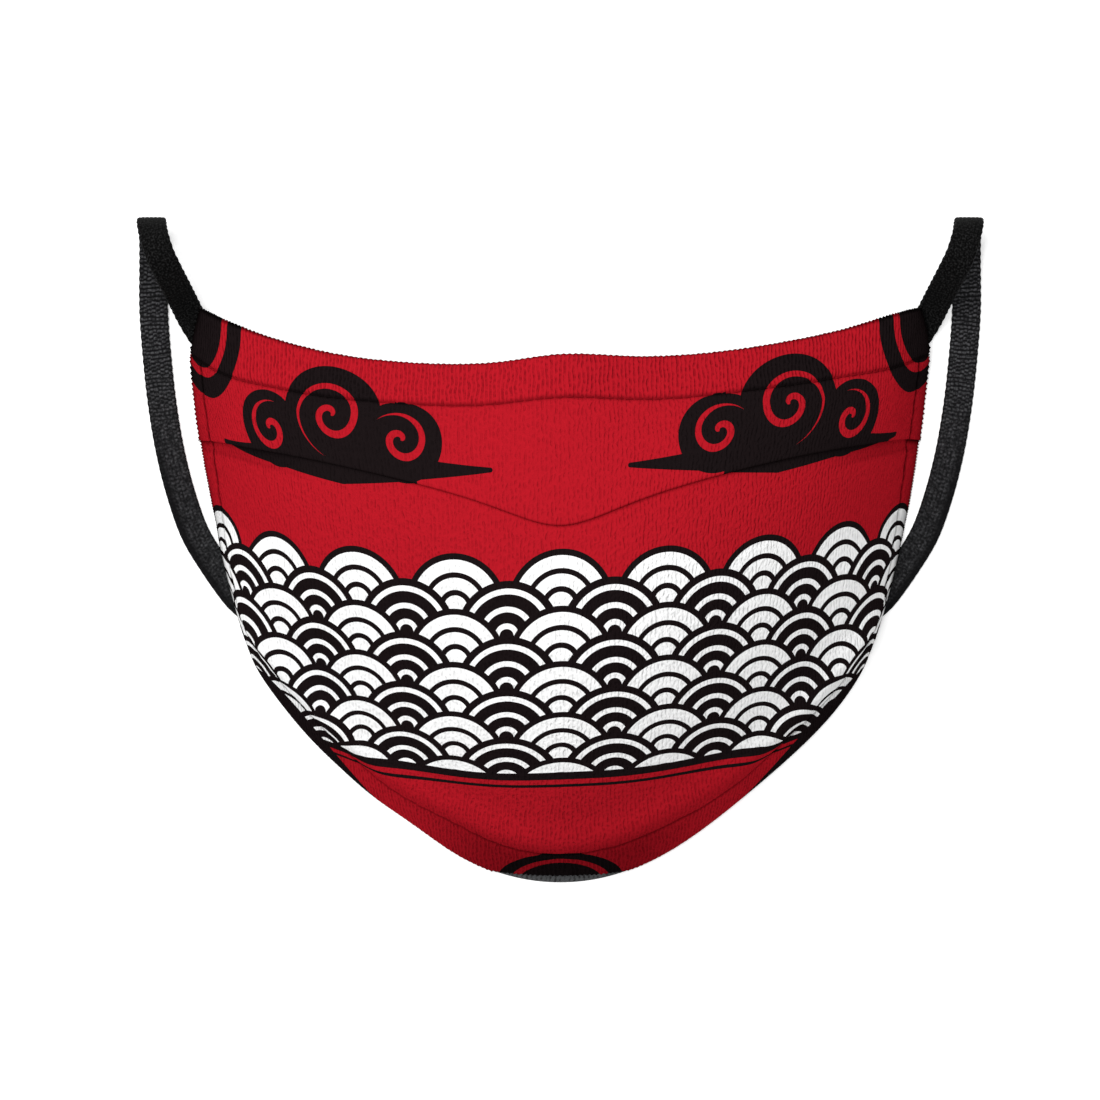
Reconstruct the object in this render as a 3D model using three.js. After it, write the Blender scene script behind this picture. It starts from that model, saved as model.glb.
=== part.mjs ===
// Pleated cloth face mask with two ear loops, lying face up on the rim that sits against the face.
// Millimetres. X runs across the face, Y from the chin up to the nose, Z out of the face.
import * as THREE from 'three';

// Driving dimensions
const HALF_WIDTH = 77.2;         // at the widest, just under the top corners
const WIDEST_Y = 50.2;
const TOP_CORNER_Y = 59.9;
const TOP_CORNER_INSET = 2.3;    // the short slanted edge at each top corner
const LOWER_CORNER_Y = -13.2;
const LOWER_CORNER_INSET = 13.1; // the sides close in towards the jaw
const SIDE_CURVE = 1.5;          // power by which they do
const CHIN_Y = -59.9;
const TOP_MIDDLE_Y = 47.4;       // top edge at the nose, without the nose bump
const SUMMIT_Y = 8.2;            // highest place of the cloth, over the nose and lips
const SUMMIT_Z = 48.6;
const CHIN_SLOPE = THREE.MathUtils.degToRad(60);  // arc half-angles: a larger one gives a steeper wall
const SIDE_SLOPE = THREE.MathUtils.degToRad(75);
const NOSE_BUMP = { rise: 1.4, lift: 2.0, halfWidth: 12, fade: 0.3 };
const LEAN = 1.2;                // the top edge is higher on the right cheek and lower on the left
const LEAN_FADE = 0.5;

const CLOTH_THICKNESS = 0.8;
const LINING_THICKNESS = 0.6;
const SEAM_GAP = 0.4;            // between the lining and the outer cloth
const LINING_MARGIN = 0.018;     // share of each half that the lining stops short of the edge
const PLEAT_LEDGE = 1.1;         // the folded layers stand this far proud of the panel below
const PLEAT_LEDGE_AT_SIDE = 0.33; // share of the ledge that is left at the side seams
const LEDGE_FADE = 4;            // power by which it falls off towards them
const PLEAT_AT = 0.262;          // share of the middle line above the pleat's fold
const PLEAT_STEP = 0.007;        // height of the ledge's foot, as a share of the middle line
const SIDE_SPREAD = 0.56;        // rows sit further down the side edge than on the middle line

// The rim rises off the table where a loop passes under it, at the top corner and at the jaw
const CORNER_LIFT = { rise: 5.5, fromY: 41, power: 1.6 };
const JAW_LIFT = { rise: 3, y: 1.5, reach: 15 };
const LIFT_INNER_EDGE = 0.72;    // share of the half-width where the lift begins

// Shape of the rows: how sharply each climbs from the middle to the side edge
const TOP_EDGE_POWER = 2.6;
const PLEAT_POWER = 1.4;
const PLEAT_FOOT = 0.08;         // roundness at the bottom of the pleat's V
const JAW_TURN = 0.74;           // within this share of the half-width the hem is fuller, beyond it flatter

const TAPE = { width: 6, thickness: 1.2, bevel: 0.35, steps: 72 };

const COLUMNS = 24;
const ROWS_ABOVE_PLEAT = 7;
const ROWS_BELOW_PLEAT = 16;
const NORMAL_STEP = 0.002;       // share of the cloth between the places that give its slope

const { smoothstep, lerp } = THREE.MathUtils;

// Half the width of the mask at the height y of its side edge
function sideX(y) {
  if (y > WIDEST_Y) {
    const up = (y - WIDEST_Y) / (TOP_CORNER_Y - WIDEST_Y);
    return HALF_WIDTH - TOP_CORNER_INSET * up ** SIDE_CURVE;
  }
  const down = (WIDEST_Y - y) / (WIDEST_Y - LOWER_CORNER_Y);
  return HALF_WIDTH - LOWER_CORNER_INSET * down ** SIDE_CURVE;
}

// Height of the rim over the table, by the y of the side edge
function rimLift(y) {
  const corner = Math.max(0, y - CORNER_LIFT.fromY) / (TOP_CORNER_Y - CORNER_LIFT.fromY);
  const jaw = 1 - smoothstep(Math.abs(y - JAW_LIFT.y), JAW_LIFT.reach / 2, JAW_LIFT.reach);
  return CORNER_LIFT.rise * corner ** CORNER_LIFT.power + JAW_LIFT.rise * jaw;
}

// How far a row has climbed from the middle line to the side edge, t being 0 in the middle and 1 at the
// side. The top edge stays level and turns up at the corners, the pleat hangs in a V with a soft foot, the
// hem is a round chin with straighter jaws.
function rowClimb(t, v) {
  const top = t ** TOP_EDGE_POWER;
  const fromFoot = (Math.hypot(t, PLEAT_FOOT) - PLEAT_FOOT) / (Math.hypot(1, PLEAT_FOOT) - PLEAT_FOOT);
  const pleat = 1 - (1 - fromFoot) ** PLEAT_POWER;
  const hem = t ** 2 + t ** 3 * (JAW_TURN - t) * Math.sqrt(1 - t);
  if (v < PLEAT_AT) return lerp(top, pleat, smoothstep(v, 0, PLEAT_AT));
  return lerp(pleat, hem, smoothstep(v, PLEAT_AT, 1));
}

// Face of the printed cloth. s runs from -1 at the left side to 1 at the right, v from 0 at the top edge
// to 1 at the hem.
function face(s, v) {
  const chinArc = (SUMMIT_Y - CHIN_Y) / Math.sin(CHIN_SLOPE);
  const topAngle = -Math.asin((TOP_MIDDLE_Y - SUMMIT_Y) / chinArc);
  const along = lerp(topAngle, CHIN_SLOPE, v);
  const middleY = SUMMIT_Y - chinArc * Math.sin(along);
  const middleZ = SUMMIT_Z * (Math.cos(along) - Math.cos(CHIN_SLOPE)) / (1 - Math.cos(CHIN_SLOPE));

  const sideY = lerp(TOP_CORNER_Y, LOWER_CORNER_Y, v + SIDE_SPREAD * v * (1 - v));
  const angle = s * SIDE_SLOPE;
  const t = Math.min(1, Math.abs(Math.sin(angle)) / Math.sin(SIDE_SLOPE));
  const dome = (Math.cos(angle) - Math.cos(SIDE_SLOPE)) / (1 - Math.cos(SIDE_SLOPE));

  const x = Math.sign(s) * t * sideX(sideY);
  const nose = Math.exp(-((x / NOSE_BUMP.halfWidth) ** 2)) * (1 - smoothstep(v, 0, NOSE_BUMP.fade));
  const lean = LEAN * 4 * s * (1 - Math.abs(s)) * (1 - smoothstep(v, 0, LEAN_FADE));
  const y = middleY + (sideY - middleY) * rowClimb(t, v) + NOSE_BUMP.rise * nose + lean;
  const z = middleZ * dome + NOSE_BUMP.lift * nose + rimLift(sideY) * smoothstep(t, LIFT_INNER_EDGE, 1);
  return new THREE.Vector3(x, y, Math.max(z, 0));
}

function faceNormal(s, v) {
  const across = face(Math.min(1, s + NORMAL_STEP), v).sub(face(Math.max(-1, s - NORMAL_STEP), v));
  const down = face(s, Math.min(1, v + NORMAL_STEP)).sub(face(s, Math.max(0, v - NORMAL_STEP)));
  return down.cross(across).normalize();
}

// Rows over the mask, with the pleat's fold and the foot of its ledge each on a row of its own
function rowPlaces() {
  const rows = [];
  for (let i = 0; i <= ROWS_ABOVE_PLEAT; i++) rows.push(PLEAT_AT * i / ROWS_ABOVE_PLEAT);
  for (let i = 0; i <= ROWS_BELOW_PLEAT; i++) {
    rows.push(lerp(PLEAT_AT + PLEAT_STEP, 1, i / ROWS_BELOW_PLEAT));
  }
  return rows;
}

// The upper panel rides up over the folded cloth as it nears the pleat, less so at the sides
function pleatLedge(s, v) {
  if (v > PLEAT_AT) return 0;
  return PLEAT_LEDGE * (v / PLEAT_AT) * lerp(1, PLEAT_LEDGE_AT_SIDE, s ** LEDGE_FADE);
}

// A closed shell between two depths behind the cloth's face. Without a margin it reaches the edges of the
// mask, and its rim stands level on the table.
function shell(name, outerDepth, innerDepth, ledge, margin, material) {
  const rows = rowPlaces().map((v) => lerp(margin / 2, 1 - margin, v));
  const positions = [];
  const indices = [];
  const width = COLUMNS + 1;
  for (const depth of [outerDepth, innerDepth]) {
    rows.forEach((v, row) => {
      for (let column = 0; column <= COLUMNS; column++) {
        const s = lerp(margin - 1, 1 - margin, column / COLUMNS);
        const point = face(s, v);
        const rim = point.z;
        point.addScaledVector(faceNormal(s, v), (depth === outerDepth ? ledge(s, v) : 0) - depth);
        const onRim = column === 0 || column === COLUMNS || row === rows.length - 1;
        if (onRim && margin === 0) point.z = rim;
        positions.push(point.x, point.y, Math.max(point.z, 0));
      }
    });
  }
  const inner = rows.length * width;
  for (let row = 0; row < rows.length - 1; row++) {
    for (let column = 0; column < COLUMNS; column++) {
      const a = row * width + column;
      const b = a + 1;
      const c = a + width;
      const d = c + 1;
      indices.push(a, c, b, b, c, d);
      indices.push(inner + a, inner + b, inner + c, inner + b, inner + d, inner + c);
    }
  }
  const edge = [];
  for (let column = 0; column < COLUMNS; column++) edge.push(column);
  for (let row = 0; row < rows.length - 1; row++) edge.push(row * width + COLUMNS);
  for (let column = COLUMNS; column > 0; column--) edge.push((rows.length - 1) * width + column);
  for (let row = rows.length - 1; row > 0; row--) edge.push(row * width);
  edge.forEach((from, i) => {
    const to = edge[(i + 1) % edge.length];
    indices.push(from, to, inner + to, from, inner + to, inner + from);
  });
  const geometry = new THREE.BufferGeometry();
  geometry.setAttribute('position', new THREE.Float32BufferAttribute(positions, 3));
  geometry.setIndex(indices);
  geometry.computeVertexNormals();
  const mesh = new THREE.Mesh(geometry, material);
  mesh.name = name;
  return mesh;
}

// Route of the right ear loop: where the tape's middle lies, and which way its plain face looks.
// It is sewn inside the top corner, comes out under the rim, rises and turns over above the table, comes
// back along the table and goes in under the rim at the jaw, where it is sewn to the lining again.
const TAPE_ROUTE = [
  { at: [70.1, 46.2, 7.9], looks: [0.85, -0.09, 0.52] },
  { at: [72.3, 51.0, 4.1], looks: [0.85, 0, 0.53] },
  { at: [75.3, 55.3, 1.8], looks: [0.3, -0.1, 0.95] },
  { at: [76.8, 58.2, 2.9], looks: [-0.15, -0.45, 0.88] },
  { at: [77.9, 60.8, 5.8], looks: [-0.31, -0.72, 0.62] },
  { at: [79.2, 64.0, 10.8], looks: [-0.31, -0.72, 0.62] },
  { at: [80.5, 67.0, 14.5], looks: [-0.22, -0.5, 0.83] },
  { at: [81.9, 70.2, 16.4], looks: [0, 0, 1] },
  { at: [83.2, 74.1, 15.4], looks: [0.17, 0.46, 0.87] },
  { at: [84.1, 77.0, 12.4], looks: [0.18, 0.84, 0.5] },
  { at: [84.5, 78.1, 8.5], looks: [0.12, 0.99, 0] },
  { at: [84.7, 77.0, 4.6], looks: [0.06, 0.86, -0.5] },
  { at: [84.8, 74.1, 1.7], looks: [0.02, 0.5, -0.87] },
  { at: [84.9, 70.0, 0.65], looks: [0, 0, -1] },
  { at: [84.9, 60.0, 0.65], looks: [0, 0, -1] },
  { at: [84.2, 50.2, 0.65], looks: [0, 0, -1] },
  { at: [83.1, 40.2, 0.65], looks: [0, 0, -1] },
  { at: [81.4, 30.2, 0.65], looks: [0, 0, -1] },
  { at: [79.1, 21.2, 0.65], looks: [0, 0, -1] },
  { at: [76.2, 13.2, 0.65], looks: [0, 0, -1] },
  { at: [72.3, 6.7, 0.65], looks: [0, 0, -1] },
  { at: [68.2, 0.9, 0.8], looks: [-0.1, 0, -0.99] },
  { at: [64.8, -3.3, 2.2], looks: [-0.68, 0.2, -0.7] },
  { at: [62.4, -6.9, 3.6], looks: [-0.88, 0.28, -0.38] },
  { at: [60.5, -11.1, 3.9], looks: [-0.84, 0.33, -0.43] },
];

// Flat tape swept along a route, mirrored for the left side
function earLoop(name, side, material) {
  const mirror = ([x, y, z]) => new THREE.Vector3(side * x, y, z);
  const path = new THREE.CatmullRomCurve3(TAPE_ROUTE.map((stop) => mirror(stop.at)));
  const looks = new THREE.CatmullRomCurve3(TAPE_ROUTE.map((stop) => mirror(stop.looks)));
  const w = TAPE.width / 2;
  const h = TAPE.thickness / 2;
  const bevel = TAPE.bevel;
  const section = [
    [w, bevel - h], [w, h - bevel], [w - bevel, h], [bevel - w, h],
    [-w, h - bevel], [-w, bevel - h], [bevel - w, -h], [w - bevel, -h],
  ];
  const positions = [];
  const indices = [];
  for (let i = 0; i <= TAPE.steps; i++) {
    const share = i / TAPE.steps;
    const middle = path.getPoint(share);
    const tangent = path.getTangent(share);
    const width = looks.getPoint(share).cross(tangent).normalize();
    const normal = tangent.clone().cross(width);
    for (const [across, out] of section) {
      const point = middle.clone().addScaledVector(width, across).addScaledVector(normal, out);
      positions.push(point.x, point.y, Math.max(point.z, 0));
    }
  }
  const sides = section.length;
  for (let i = 0; i < TAPE.steps; i++) {
    for (let j = 0; j < sides; j++) {
      const a = i * sides + j;
      const b = i * sides + (j + 1) % sides;
      indices.push(a, b, b + sides, a, b + sides, a + sides);
    }
  }
  for (let j = 1; j < sides - 1; j++) {
    const last = TAPE.steps * sides;
    indices.push(0, j + 1, j, last, last + j, last + j + 1);
  }
  const geometry = new THREE.BufferGeometry();
  geometry.setAttribute('position', new THREE.Float32BufferAttribute(positions, 3));
  geometry.setIndex(indices);
  geometry.computeVertexNormals();
  const mesh = new THREE.Mesh(geometry, material);
  mesh.name = name;
  return mesh;
}

const printedKnit = new THREE.MeshStandardMaterial({ color: 0xb01a26, roughness: 0.9, metalness: 0 });
const liningKnit = new THREE.MeshStandardMaterial({ color: 0x3c3c3e, roughness: 0.92, metalness: 0 });
const elastic = new THREE.MeshStandardMaterial({ color: 0x17171a, roughness: 0.85, metalness: 0 });

const liningDepth = CLOTH_THICKNESS + SEAM_GAP;
const flat = () => 0;

const mask = new THREE.Group();
mask.add(shell('outer_cloth', 0, CLOTH_THICKNESS, pleatLedge, 0, printedKnit));
mask.add(shell('lining', liningDepth, liningDepth + LINING_THICKNESS, flat, LINING_MARGIN, liningKnit));
mask.add(earLoop('ear_loop_left', -1, elastic));
mask.add(earLoop('ear_loop_right', 1, elastic));

export default mask;
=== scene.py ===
import math

import bpy
import numpy as np
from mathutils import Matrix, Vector


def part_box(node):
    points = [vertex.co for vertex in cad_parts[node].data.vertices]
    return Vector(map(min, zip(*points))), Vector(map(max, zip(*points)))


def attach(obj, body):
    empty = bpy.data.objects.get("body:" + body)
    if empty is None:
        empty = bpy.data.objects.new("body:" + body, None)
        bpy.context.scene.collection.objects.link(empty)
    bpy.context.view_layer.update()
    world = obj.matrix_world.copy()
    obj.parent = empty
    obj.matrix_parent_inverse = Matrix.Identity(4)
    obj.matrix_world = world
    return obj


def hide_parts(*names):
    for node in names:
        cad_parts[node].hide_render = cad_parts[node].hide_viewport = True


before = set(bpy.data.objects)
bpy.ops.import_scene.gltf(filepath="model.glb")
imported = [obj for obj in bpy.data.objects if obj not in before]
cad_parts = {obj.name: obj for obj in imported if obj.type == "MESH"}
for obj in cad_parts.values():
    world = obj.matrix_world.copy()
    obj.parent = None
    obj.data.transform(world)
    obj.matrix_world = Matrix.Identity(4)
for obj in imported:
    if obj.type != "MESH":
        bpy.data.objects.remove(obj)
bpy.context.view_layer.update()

# Camera
# Looks straight down on the mask as it lies face up, with the nose edge at the top of the picture.
# A long lens from three quarters of a metre, as for a picture in a shop.
VIEW_WIDTH = 0.230           # table that the square picture takes in
VIEW_HEIGHT = 0.767
VIEW_MIDDLE = (-0.0021, 0.0098)
SENSOR = 36.0                # millimetres
camera = bpy.data.objects.new("camera", bpy.data.cameras.new("camera"))
camera.data.sensor_width = SENSOR
camera.data.lens = SENSOR * VIEW_HEIGHT / VIEW_WIDTH
camera.location = (*VIEW_MIDDLE, VIEW_HEIGHT)
bpy.context.scene.collection.objects.link(camera)
bpy.context.scene.camera = camera
bpy.context.scene.view_settings.view_transform = "Standard"

# Ear loops
# Flat braided elastic, black on its plain face and charcoal with cross ribs on the other. Each is sewn in
# at a top corner, rises, turns over above the table, comes back along it and is sewn in again at the jaw.
TAPE_WIDTH = 0.006
TAPE_THICKNESS = 0.0011
RIB_PITCH = 0.00086
RINGS_PER_RIB = 6
TAPE_CORDS = 7               # lengthwise cords side by side
CORD_STEPS = 4
EDGE_POWER = 8               # how square the section's edges are
CROWN_POWER = 0.4            # how flat the cords are on top
RIB_POWER = 1.8              # how steep the ribs' flanks are
RIBBED = {"groove": 0.00006, "rib": 0.00013}
PLAIN = {"groove": 0.00009, "rib": 0.00003}
SCALLOP = 0.02               # share of the width by which the edge waves at every second rib
RIB_LAG = 0.20               # share of a rib by which every second cord's ribs sit further on
RIB_WANDER = 0.30            # share of a rib by which they stray
RIB_STRAY = [(0.0013, 2.1), (0.0047, 1.3)]  # in waves: length over two pi, and lag from cord to cord
CORD_GAP = 0.45              # how light the yarn stays between two cords
# Over this stretch the tape gets pulled: its ribs sink and even out. Painted shade darkens it there, more at
# its outer edge.
PULLED = {"over": (0.080, 0.112), "sink": 0.7, "even": 0.7, "level": 0.6, "darken": 0.4, "wear_and_edge_shade": 0.85}
EDGE_SHADE_SPAN = (0.35, 0.65)     # shares of the half-width between which the painted edge shade sets in
TRACE_POINTS = 4000          # points along the route before it is cut into even steps
TABLE_GAP = 0.00005
# Noise in the material: counts a metre, and detail. Fibres and fluff are drawn 0.4 mm apart, coarser than
# real ones, so that they show. The grain is 0.5 mm and the wear 1.4 mm.
TAPE_NOISE = {"fibres": (2600.0, 2.0), "wear_and_edge_shade": (700.0, 2.0), "grain": (1900.0, 1.0), "fluff": (2500.0, 1.0)}
# Middle of the tape and the way its plain face looks, for the right side
TAPE_ROUTE = [
    ((0.0701, 0.0462, 0.0079), (0.85, -0.09, 0.52)),
    ((0.0723, 0.0510, 0.0041), (0.85, 0, 0.53)),
    ((0.0753, 0.0553, 0.0018), (0.3, -0.1, 0.95)),
    ((0.0768, 0.0582, 0.0029), (-0.15, -0.45, 0.88)),
    ((0.0779, 0.0608, 0.0058), (-0.31, -0.72, 0.62)),
    ((0.0792, 0.0640, 0.0108), (-0.31, -0.72, 0.62)),
    ((0.0805, 0.0670, 0.0145), (-0.22, -0.5, 0.83)),
    ((0.0819, 0.0702, 0.0164), (0, 0, 1)),
    ((0.0832, 0.0741, 0.0154), (0.17, 0.46, 0.87)),
    ((0.0841, 0.0770, 0.0124), (0.06, 0.86, 0.5)),
    ((0.0845, 0.0781, 0.0085), (0, 1, 0)),
    ((0.0847, 0.0770, 0.0046), (0, 0.86, -0.5)),
    ((0.0848, 0.0741, 0.0017), (0.02, 0.5, -0.87)),
    ((0.0849, 0.0700, 0.00065), (0, 0, -1)),
    ((0.0849, 0.0600, 0.00065), (0, 0, -1)),
    ((0.0842, 0.0502, 0.00065), (0, 0, -1)),
    ((0.0831, 0.0402, 0.00065), (0, 0, -1)),
    ((0.0814, 0.0302, 0.00065), (0, 0, -1)),
    ((0.0791, 0.0212, 0.00065), (0, 0, -1)),
    ((0.0762, 0.0132, 0.00065), (0, 0, -1)),
    ((0.0723, 0.0067, 0.00065), (0, 0, -1)),
    ((0.0682, 0.0009, 0.0008), (-0.1, 0, -0.99)),
    ((0.0648, -0.0033, 0.0022), (-0.68, 0.2, -0.7)),
    ((0.0624, -0.0069, 0.0036), (-0.88, 0.28, -0.38)),
    ((0.0605, -0.0111, 0.0039), (-0.84, 0.33, -0.43)),
]


def linear(hex_colour):
    """An sRGB hex colour as the linear one that shaders take."""
    parts = [int(hex_colour[i:i + 2], 16) / 255 for i in (1, 3, 5)]
    return [c / 12.92 if c <= 0.04045 else ((c + 0.055) / 1.055) ** 2.4 for c in parts] + [1.0]


def add(tree, kind, sockets=(), operation=None, out=0, **settings):
    """Adds a node with its settings and with its sockets linked or set, in their order or by name or
    number. Gives the output that out names, or the node itself where out is None."""
    node = tree.nodes.new("ShaderNode" + kind)
    if operation:
        node.operation = operation
    for name, value in settings.items():
        setattr(node, name, value)
    for socket, value in sockets.items() if isinstance(sockets, dict) else enumerate(sockets):
        if isinstance(value, bpy.types.NodeSocket):
            tree.links.new(value, node.inputs[socket])
        else:
            node.inputs[socket].default_value = value
    return node if out is None else node.outputs[out]


def new_material(name):
    """An empty material and its node tree."""
    material = bpy.data.materials.new(name)
    material.use_nodes = True
    material.node_tree.nodes.clear()
    return material, material.node_tree


def textile(tree, colour, height, bump, strength, roughness, specular):
    """Ends a material with a shader for cloth or thread, whose fibres stand up by bump metres."""
    normal = add(tree, "Bump", {"Height": height, "Distance": bump, "Strength": strength})
    shader = add(tree, "BsdfPrincipled", {"Base Color": colour, "Roughness": roughness,
                                          "Specular IOR Level": specular, "Normal": normal})
    add(tree, "OutputMaterial", {"Surface": shader}, out=None)


def make_piece(name, points, faces, material, values=None, uv=None, bake=None):
    """A smooth mesh on the object's one body. values are numbers for each point that the material reads, uv
    is the cloth's own metres for each point, and bake is a layout without overlaps for each face corner."""
    mesh = bpy.data.meshes.new(name)
    mesh.from_pydata(points.tolist(), [], faces)
    mesh.polygons.foreach_set("use_smooth", np.ones(len(faces), bool))
    for layer, numbers in (values or {}).items():
        mesh.attributes.new(layer, "FLOAT", "POINT").data.foreach_set("value", numbers.astype(np.float32))
    if uv is not None:
        corners = np.zeros(len(mesh.loops), np.int32)
        mesh.loops.foreach_get("vertex_index", corners)
        mesh.uv_layers.new(name="cloth").data.foreach_set("uv", uv[corners].astype(np.float32).ravel())
    if bake is not None:
        mesh.uv_layers.new(name="OFBake").data.foreach_set("uv", bake.astype(np.float32).ravel())
    mesh.materials.append(material)
    mesh.update()
    piece = bpy.data.objects.new(name, mesh)
    bpy.context.scene.collection.objects.link(piece)
    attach(piece, "root")
    return piece


def smoothstep(x, low, high):
    t = np.clip((x - low) / (high - low), 0, 1)
    return t * t * (3 - 2 * t)


def lerp(a, b, t):
    return a + (b - a) * t


def unit(vectors):
    return vectors / np.linalg.norm(vectors, axis=-1, keepdims=True)


def running(points, axis=0):
    """Length along each line of points, from 0 at its start."""
    steps = np.linalg.norm(np.diff(points, axis=axis), axis=-1)
    return np.insert(np.cumsum(steps, axis=axis), 0, 0, axis=axis)


def tape_line(side):
    """Middle line of a loop in even steps, and the way the plain face looks at each."""
    stops = np.array([[*at, *looks] for at, looks in TAPE_ROUTE])
    stops[:, [0, 3]] *= side
    stops = np.vstack([2 * stops[0] - stops[1], stops, 2 * stops[-1] - stops[-2]])
    knots = np.insert(np.cumsum(np.linalg.norm(np.diff(stops[:, :3], axis=0), axis=1) ** 0.5), 0, 0)
    t = np.linspace(knots[1], knots[-2], TRACE_POINTS)
    i = np.clip(np.searchsorted(knots, t, side="right") - 1, 1, len(stops) - 3)

    def mix(a, b, first, last):
        return lerp(a, b, ((t - knots[first]) / (knots[last] - knots[first]))[:, None])

    lines = [mix(stops[i + k], stops[i + k + 1], i + k, i + k + 1) for k in (-1, 0, 1)]
    pairs = [mix(lines[k], lines[k + 1], i + k - 1, i + k + 1) for k in (0, 1)]
    dense = mix(pairs[0], pairs[1], i, i + 1)
    run = running(dense[:, :3])
    steps = np.linspace(0, run[-1], int(run[-1] / RIB_PITCH * RINGS_PER_RIB))
    even = np.stack([np.interp(steps, run, dense[:, k]) for k in range(6)], 1)
    return even[:, :3], even[:, 3:], steps


def tape_section():
    """Places round the tape's section: share across from -1 to 1, and 1 on its plain face or -1 on its
    ribbed one."""
    plain = np.linspace(1, -1, TAPE_CORDS * CORD_STEPS + 1)
    ribbed = np.linspace(-1, 1, TAPE_CORDS * CORD_STEPS + 1)[1:-1]
    return np.concatenate([plain, ribbed]), np.concatenate([np.ones(len(plain)), -np.ones(len(ribbed))])


def ear_loop(side, name, node, material):
    """One loop: a tape with cords and ribs, laid along its route. side is -1 for the left one and 1 for the
    right."""
    middle, looks, steps = tape_line(side)
    tangent = unit(np.gradient(middle, axis=0))
    width = unit(np.cross(looks, tangent))
    normal = np.cross(tangent, width)
    across, face = tape_section()
    cord = np.clip(np.floor((across + 1) / 2 * TAPE_CORDS), 0, TAPE_CORDS - 1)
    crown = np.abs(np.sin(math.pi * ((across + 1) / 2 * TAPE_CORDS - cord))) ** CROWN_POWER
    crown = np.where(np.abs(across) == 1, 1, crown)
    stray = np.prod([np.sin(steps[:, None] / wave + lag * cord) for wave, lag in RIB_STRAY], axis=0)
    phase = steps[:, None] / RIB_PITCH + RIB_LAG * (cord % 2) + RIB_WANDER * stray
    rib = 0.5 + 0.5 * np.tanh(RIB_POWER * np.cos(2 * math.pi * phase)) / math.tanh(RIB_POWER)
    pulled = smoothstep(steps, *PULLED["over"])[:, None]
    groove_depth, rib_height = (np.where(face < 0, RIBBED[part], PLAIN[part]) for part in ("groove", "rib"))
    rib_height = rib_height * (1 - PULLED["sink"] * pulled)
    envelope = np.sqrt(1 - np.abs(across) ** EDGE_POWER)
    out = (TAPE_THICKNESS / 2 - groove_depth * (1 - crown) - rib_height * (1 - rib) * crown) * envelope
    scallop = SCALLOP * (1 - PULLED["sink"] * pulled[:, 0])
    reach = across * TAPE_WIDTH / 2 * (1 + scallop * np.cos(math.pi * steps / RIB_PITCH))[:, None]
    points = middle[:, None] + width[:, None] * reach[..., None] + normal[:, None] * (face * out)[..., None]
    points[..., 2] = np.maximum(points[..., 2], TABLE_GAP)
    rings, sides = reach.shape
    a = np.arange((rings - 1) * sides).reshape(rings - 1, sides)
    b = np.roll(a, -1, axis=1)
    faces = np.stack([a, b, b + sides, a + sides], -1).reshape(-1, 4).tolist()
    faces += [list(range(sides))[::-1], [(rings - 1) * sides + j for j in range(sides)]]
    # Painted shade: the pulled run is darkened all over, and more at its outer edge
    wear_and_edge_shade = PULLED["wear_and_edge_shade"] * pulled * smoothstep(-side * across, *EDGE_SHADE_SPAN)
    lit = lerp(rib, PULLED["level"], PULLED["even"] * pulled) * (1 - PULLED["darken"] * pulled)
    values = {"thread": lerp(CORD_GAP, 1, crown) * lit * (1 - wear_and_edge_shade), "ribbed_face": face < 0,
              "edge": np.abs(across)}
    values = {layer: np.broadcast_to(grid, reach.shape).ravel() for layer, grid in values.items()}
    uv = np.stack([reach, steps[:, None] * np.ones_like(reach)], -1).reshape(-1, 2)
    piece = make_piece(name, points.reshape(-1, 3), faces, material, values, uv)
    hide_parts(node)


# Polyester and rubber braid: matte, nearly black in its grooves, with charcoal yarn on the ribbed face's
# crests. Painted shade darkens the crests at the tape's edges, and along its pulled run through the thread
# values. A MapRange takes a value, the range it is read in and the range it is given in.
elastic, tree = new_material("braided_elastic")
thread, ribbed_face, edge = (add(tree, "Attribute", attribute_name=layer, out="Fac")
                             for layer in ("thread", "ribbed_face", "edge"))
# Painted shade on the ribbed face's outermost cords
painted_edge_shade = add(tree, "MapRange", [edge, 0.8, 1.0, 1.0, 0.3])
coordinates = add(tree, "UVMap", uv_map="cloth")
fibres, wear_and_edge_shade, grain, fluff = (
    add(tree, "TexNoise", {"Vector": coordinates, "Scale": scale, "Detail": detail}, out="Fac")
    for scale, detail in TAPE_NOISE.values())
wear_and_edge_shade = add(tree, "MapRange", [wear_and_edge_shade, 0.32, 0.68, 0.35, 1.1])
crest = add(tree, "Math", [thread, painted_edge_shade], "MULTIPLY")
crest = add(tree, "Math", [crest, wear_and_edge_shade], "MULTIPLY")
grain = add(tree, "MapRange", [grain, 0.36, 0.64, 0.2, 1.7])
crest = add(tree, "Math", [crest, grain], "MULTIPLY", use_clamp=True)
fluff = add(tree, "MapRange", [fluff, 0.46, 0.76])
plain_colour = add(tree, "Mix", {0: fluff, 6: linear("#020202"), 7: linear("#242424")}, data_type="RGBA",
                   out=2)
ribbed_colour = add(tree, "Mix", {0: crest, 6: linear("#0a0a0b"), 7: linear("#464648")}, data_type="RGBA",
                    out=2)
colour = add(tree, "Mix", {0: ribbed_face, 6: plain_colour, 7: ribbed_colour}, data_type="RGBA", out=2)
textile(tree, colour, fibres, bump=0.00006, strength=0.6, roughness=0.85, specular=0.06)

ear_loop(-1, "elastic_left", "ear_loop_left", elastic)
ear_loop(1, "elastic_right", "ear_loop_right", elastic)

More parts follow.
